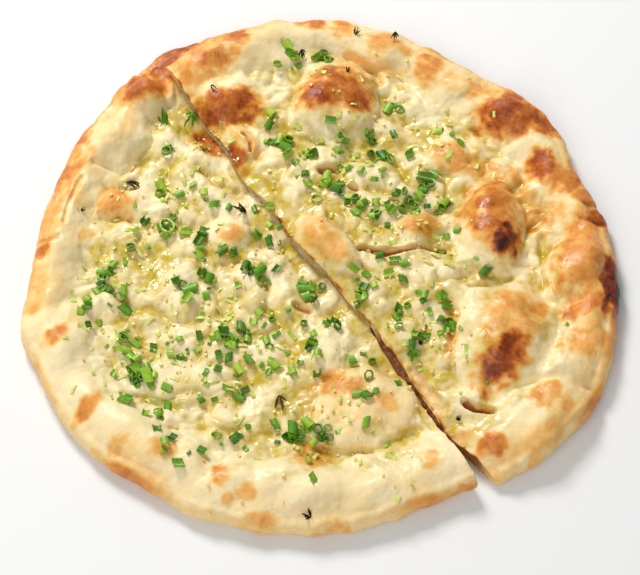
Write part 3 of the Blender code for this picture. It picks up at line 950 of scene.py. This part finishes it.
# How far round its stalk a ring goes and a split length goes, in radians
RING_ARC = 6.1
SPLIT_ARC = 3.4


class Table:
    """Finds the bread's surface under a point, over both finished halves."""

    def __init__(self, pieces):
        self.trees = []
        for piece in pieces:
            mesh = bmesh.new()
            mesh.from_mesh(piece.data)
            self.trees.append(BVHTree.FromBMesh(mesh))
            mesh.free()
        self.shift = row_shift()

    def under(self, x, y):
        """The highest point of the bread at a place in the baker's frame, and its normal."""
        start = Vector((x * MM, y * MM, 0.1)) + self.shift
        best = None
        for tree in self.trees:
            spot, normal, _, _ = tree.ray_cast(start, Vector((0.0, 0.0, -1.0)))
            if spot is not None and (best is None or spot.z > best[0].z):
                best = (spot, normal)
        return best


def thickened(mesh, verts, wall):
    """Gives a thin sheet its thickness, and hands back all of its points."""
    faces = dict.fromkeys(face for vert in verts for face in vert.link_faces)
    solid = bmesh.ops.solidify(mesh, geom=list(faces), thickness=wall)
    added = [item for item in solid["geom"] if isinstance(item, bmesh.types.BMVert)]
    return list(dict.fromkeys([*verts, *added]))


def marked(mesh, verts, across_at):
    """Stores how far across its bit each point is, in millimetres, for the fine streaks."""
    across = mesh.verts.layers.float["across"]
    for vert in verts:
        vert[across] = across_at(vert.co)
    return verts


def curl(mesh, chance, length, width, bend, wall):
    """A thin strip bent round an arc, ragged at its ends."""
    verts = bmesh.ops.create_grid(mesh, x_segments=4, y_segments=2, size=0.5)["verts"]
    radius = length / max(bend, 0.1)
    for vert in verts:
        ragged = chance.uniform(-0.15, 0.15)
        turn = vert.co.x * bend * (1.0 + ragged * 0.4)
        across = vert.co.y * width * (1.0 + ragged)
        vert.co = (radius * math.sin(turn), across, radius * (1.0 - math.cos(turn)))
    return marked(mesh, thickened(mesh, verts, wall), lambda spot: spot.y)


def stalk(mesh, chance, length, radius, arc, wall):
    """A short length of hollow stalk, whole or split open, a little squashed."""
    verts = bmesh.ops.create_grid(mesh, x_segments=8, y_segments=2, size=0.5)["verts"]
    squash = chance.uniform(0.55, 1.0)
    slant = chance.uniform(-0.5, 0.5)
    for vert in verts:
        turn = vert.co.x * arc
        along = vert.co.y * length * (1.0 + chance.uniform(-0.07, 0.07))
        side = radius * math.sin(turn)
        vert.co = (along + slant * side, side, radius * squash * math.cos(turn))
    verts = thickened(mesh, verts, wall)
    return marked(mesh, verts, lambda spot: radius * math.atan2(spot.y, spot.z))


def ring(mesh, chance, radius, height, wall):
    """A slice of hollow stalk, lying flat."""
    verts = stalk(mesh, chance, height, radius, RING_ARC, wall)
    upright = Matrix.Rotation(math.pi / 2.0, 4, "Y")
    bmesh.ops.transform(mesh, matrix=upright, verts=verts)
    return verts


def morsel(mesh, chance, size):
    """A minced bit: a small block with uneven corners."""
    made = bmesh.ops.create_cube(mesh, size=1.0)
    for vert in made["verts"]:
        vert.co = [part * size * chance.uniform(0.55, 1.25) for part in vert.co]
    return made["verts"]


def leaf(mesh, chance, length, width, bend):
    """One narrow blade from the origin, folded along its rib and curled."""
    verts = bmesh.ops.create_grid(mesh, x_segments=6, y_segments=2, size=0.5)["verts"]
    radius = length / bend
    for vert in verts:
        share = vert.co.x + 0.5
        half_width = width * (0.18 + 0.82 * math.sin(math.pi * min(share * 0.92 + 0.06, 1.0)))
        half_width *= chance.uniform(0.8, 1.15)
        lift = abs(vert.co.y) * half_width * 0.9
        turn = share * bend
        vert.co = ((radius - lift) * math.sin(turn), vert.co.y * half_width,
                   radius - (radius - lift) * math.cos(turn))
    return marked(mesh, thickened(mesh, verts, LEAF_THICKNESS), lambda spot: spot.y)


def sprig(mesh, chance, length):
    """A curled scrap of leaf: a few blades off one point."""
    verts = []
    for share, bearing in ((1.0, 0.0), (0.9, 24.0), (0.85, -26.0), (0.7, 50.0), (0.6, -54.0)):
        blade = leaf(mesh, chance, length * share, length * 0.14, chance.uniform(1.0, 2.0))
        turn = Matrix.Rotation(math.radians(bearing + chance.uniform(-12, 12)), 4, "Z")
        tilt = Matrix.Rotation(math.radians(chance.uniform(-18, 6)), 4, "Y")
        back = Matrix.Translation((-0.4 * length, 0.0, chance.uniform(0.0, 0.5)))
        bmesh.ops.transform(mesh, matrix=back @ turn @ tilt, verts=blade)
        verts += blade
    return verts


def lay(mesh, verts, table, chance, x, y, tilt, shade, layer):
    """Turns a bit a random way and lays it on the bread."""
    found = table.under(x, y)
    if found is None:
        bmesh.ops.delete(mesh, geom=verts, context="VERTS")
        return
    spot, normal = found
    lean = Vector((chance.gauss(0, tilt), chance.gauss(0, tilt), 1.0)).normalized()
    up = (normal * 0.8 + lean * 0.6).normalized()
    turn = up.to_track_quat("Z", "Y").to_matrix().to_4x4()
    spin = Matrix.Rotation(chance.uniform(0.0, 2.0 * math.pi), 4, "Z")
    flip = Matrix.Rotation(math.pi * (chance.random() < 0.5), 4, "X")
    bmesh.ops.transform(mesh, matrix=turn @ spin @ flip, verts=verts)
    low = min(vert.co.dot(normal) for vert in verts)
    step = spot / MM - normal * (low + SINK)
    over = max(vert.co.z for vert in verts) + step.z - CAD_BOX[1][2] / MM
    step.z -= max(over, 0.0)
    bmesh.ops.translate(mesh, vec=step, verts=verts)
    for vert in verts:
        vert[layer] = shade


def scatter(name, slot, material, table, seed, places, make, tilt):
    """Many loose bits of one kind, joined into one piece."""
    chance = random.Random(seed)
    mesh = bmesh.new()
    for layer_name in ("shade", "across"):
        mesh.verts.layers.float.new(layer_name)
    layer = mesh.verts.layers.float["shade"]
    for place in places(chance):
        verts = make(mesh, chance, *place[2:])
        lay(mesh, verts, table, chance, place[0], place[1], tilt, chance.betavariate(1.6, 1.6), layer)
    bmesh.ops.recalc_face_normals(mesh, faces=mesh.faces[:])
    bmesh.ops.scale(mesh, vec=(MM, MM, MM), verts=mesh.verts[:])
    data = bpy.data.meshes.new(name)
    mesh.to_mesh(data)
    mesh.free()
    data.shade_smooth()
    data.set_sharp_from_angle(angle=math.radians(50.0))
    data.materials.append(material)
    piece = bpy.data.objects.new(name, data)
    bpy.context.scene.collection.objects.link(piece)
    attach(piece, "root")


def around(clusters):
    """Places scattered round each cluster, thickest in its middle."""
    def places(chance):
        for x, y, spread, count in clusters:
            for _ in range(count):
                yield chance.gauss(x, spread * 0.7), chance.gauss(y, spread * 0.7)
    return places


# Kinds of chopped herb: share up to here, maker, thickness, and the span of each size
HERB_KINDS = (
    (0.16, ring, 0.6, (1.5, 2.5), (1.2, 2.4)),
    (0.62, stalk, 0.7, (2.6, 5.6), (1.3, 2.1), (2.2, 5.2)),
    (0.86, curl, 0.9, (2.4, 4.6), (1.6, 3.2), (0.8, 2.4)),
    (1.0, curl, 0.8, (1.6, 3.0), (0.9, 1.6), (0.4, 1.4)),
)


def chopped_herb(mesh, chance):
    """One bit of chopped green: a ring, a split length or a strip."""
    kind = chance.random()
    make, wall, *spans = next(row[1:] for row in HERB_KINDS if kind < row[0])
    return make(mesh, chance, *(chance.uniform(*span) for span in spans), wall)


def pale_shred(mesh, chance):
    """One pale bit: a crumb or a thin strip."""
    if chance.random() < 0.5:
        return morsel(mesh, chance, chance.uniform(0.8, 1.7))
    length, width, bend = (chance.uniform(*span) for span in ((2.4, 6.2), (0.8, 2.0), (0.3, 1.5)))
    return curl(mesh, chance, length, width, bend, 0.4)


def garlic_bit(mesh, chance):
    """One bit of minced garlic."""
    return morsel(mesh, chance, chance.uniform(0.7, 1.5))


def big_ring(mesh, chance, size):
    """A large ring, placed by itself."""
    return ring(mesh, chance, size * 0.5, size * 0.28, BIG_WALL)


def big_chip(mesh, chance, length, width):
    """A large split length, placed by itself."""
    return stalk(mesh, chance, length, width * 0.5, SPLIT_ARC, BIG_WALL)


def add_toppings(table):
    """Everything strewn over the bread, one piece for each kind."""
    green = morsel_material("herb_green", (HERB_DEEP, HERB_GREEN, HERB_BRIGHT), 0.30, 0.9)
    pale = morsel_material("shred_pale", (SHRED_GREEN, SHRED_PALE, SHRED_PALE), 0.30, 0.4)
    garlic = morsel_material("garlic_gold", (GARLIC_GOLD, GARLIC_PALE, GARLIC_PALE), 0.30, 0.2)
    black = morsel_material("leaf_charred", (LEAF_BLACK, LEAF_BLACK, LEAF_BROWN), 0.42, 0.5)
    deep = morsel_material("leaf_deep", (LEAF_BLACK, HERB_DEEP, HERB_GREEN), 0.32, 0.5)
    kinds = (
        ("chopped_herb", "green_herb", green, 0, around(HERB_CLUSTERS), chopped_herb, 0.45),
        ("herb_rings", "green_herb", green, 5, lambda _: BIG_RINGS, big_ring, 0.2),
        ("herb_chips", "green_herb", green, 6, lambda _: BIG_CHIPS, big_chip, 0.25),
        ("pale_shreds", "green_herb", pale, 1, around(SHRED_CLUSTERS), pale_shred, 0.2),
        ("minced_garlic", "garlic", garlic, 2, around(GARLIC_CLUSTERS), garlic_bit, 0.3),
        ("charred_flakes", "charred_herb", black, 3, lambda _: CHAR_FLAKES, sprig, 0.2),
        ("dark_leaves", "green_herb", deep, 4, lambda _: DARK_LEAVES, sprig, 0.2),
    )
    for name, slot, material, own_seed, places, make, tilt in kinds:
        scatter(name, slot, material, table, HERB_SEED + own_seed, places, make, tilt)


# ---------------------------------------------------------------- the stage
ELEVATION = math.radians(62.0)
CAMERA_DISTANCE = 1.0
LENS = 121.0
SENSOR = 36.0
AIM = Vector((0.0, -0.013, 0.006))
# Lamps: name, place, size, power
LAMPS = (("key", (-0.48, 0.95, 1.0), 0.42, 17.0), ("fill", (-0.5, -0.9, 1.0), 1.0, 7.0))
ROOM_LIGHT = 0.36
FLOOR_HALF = 3.0
FLOOR_DROP = 0.0006
FLOOR_COLOUR = (0.86, 0.86, 0.85, 1.0)


def set_camera():
    """A long lens that looks down on the bread from the near side."""
    camera = bpy.data.objects.new("camera", bpy.data.cameras.new("camera"))
    camera.data.lens = LENS
    camera.data.sensor_width = SENSOR
    aim = AIM + row_shift()
    camera.location = aim + CAMERA_DISTANCE * Vector((0.0, -math.cos(ELEVATION), math.sin(ELEVATION)))
    camera.rotation_euler = (math.pi / 2.0 - ELEVATION, 0.0, 0.0)
    bpy.context.scene.collection.objects.link(camera)
    bpy.context.scene.camera = camera


def soft_lamp(name, place, size, power):
    """A square lamp that faces the bread."""
    lamp = bpy.data.objects.new(name, bpy.data.lights.new(name, "AREA"))
    lamp.data.shape = "SQUARE"
    lamp.data.size = size
    lamp.data.energy = power
    lamp.location = place
    lamp.rotation_euler = (-Vector(place)).to_track_quat("-Z", "Y").to_euler()
    bpy.context.scene.collection.objects.link(lamp)


def set_stage():
    """A pale floor, two soft lamps and an even white room."""
    mesh = bmesh.new()
    bmesh.ops.create_grid(mesh, x_segments=1, y_segments=1, size=FLOOR_HALF)
    data = bpy.data.meshes.new("floor")
    mesh.to_mesh(data)
    mesh.free()
    floor = bpy.data.objects.new("floor", data)
    floor.location.z = -FLOOR_DROP
    bpy.context.scene.collection.objects.link(floor)
    nodes = Nodes("floor_white")
    nodes.shader.inputs["Base Color"].default_value = FLOOR_COLOUR
    nodes.shader.inputs["Roughness"].default_value = 0.9
    data.materials.append(nodes.material)
    for lamp in LAMPS:
        soft_lamp(*lamp)
    world = bpy.data.worlds.new("room")
    bpy.context.scene.world = world
    world.use_nodes = True
    background = world.node_tree.nodes["Background"]
    background.inputs["Color"].default_value = (1.0, 1.0, 1.0, 1.0)
    background.inputs["Strength"].default_value = ROOM_LIGHT
    bpy.context.scene.view_settings.view_transform = "Standard"


def main():
    dough = crust_material()
    left = Half(LEFT_SWELLS, LEFT_CUT, LEFT_WANDER, LEFT_BLISTERS, LEFT_FOLDS, LEFT_TEARS,
                LEFT_TOAST, LEFT_EDGE_TOAST, LEFT_RIM_GOLD, is_right=False)
    right = Half(RIGHT_SWELLS, RIGHT_CUT, RIGHT_WANDER, RIGHT_BLISTERS, RIGHT_FOLDS, RIGHT_TEARS,
                 RIGHT_TOAST, RIGHT_EDGE_TOAST, RIGHT_RIM_GOLD, is_right=True)
    halves = (
        build_half("left_half_baked", "left_half", left, dough),
        build_half("right_half_baked", "right_half", right, dough),
    )
    add_toppings(Table(halves))
    set_stage()
    set_camera()


main()
